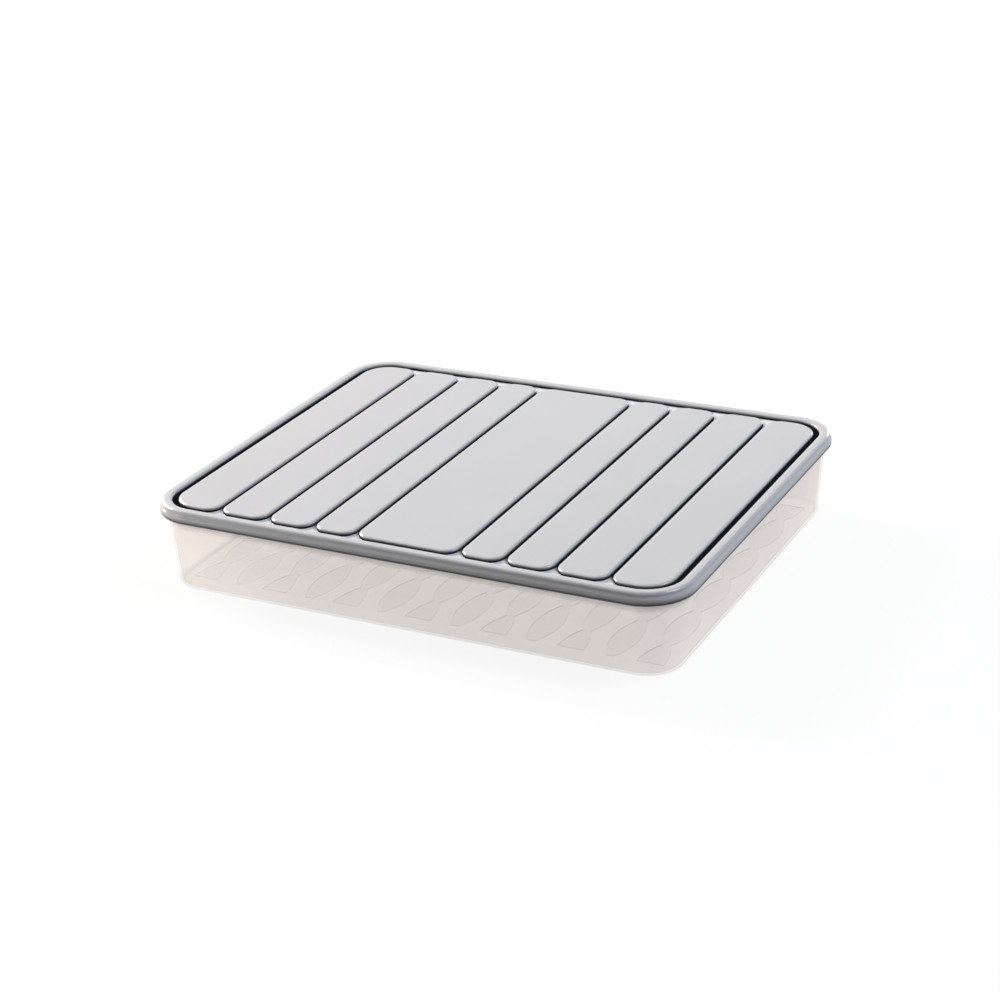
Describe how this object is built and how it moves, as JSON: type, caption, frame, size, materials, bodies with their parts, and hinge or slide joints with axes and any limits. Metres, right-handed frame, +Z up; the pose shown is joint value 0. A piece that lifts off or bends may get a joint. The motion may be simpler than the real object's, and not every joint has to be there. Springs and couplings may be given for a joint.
{
  "type": "refrigerator storage container",
  "caption": "Flat rectangular food container: a drafted translucent tray with a wavy relief on its floor, closed by a press-on lid with a raised rim and flat pads.",
  "frame": {"origin": "middle of the tray's underside, where the container stands", "axes": "+X along the long side, +Y along the short side from the front to the back, +Z up"},
  "size_m": [0.282, 0.227, 0.045],
  "materials": {
    "frosted_clear_plastic": "frosted, translucent",
    "grey_plastic": "satin"
  },
  "bodies": {
    "tray": {"tray": "frosted_clear_plastic"},
    "lid": {"lid": "grey_plastic"}
  },
  "joints": [
    {"name": "lid_lift", "type": "slide", "parent": "tray", "child": "lid", "axis": [0, 0, 1], "range_m": [0, 0.06]}
  ]
}
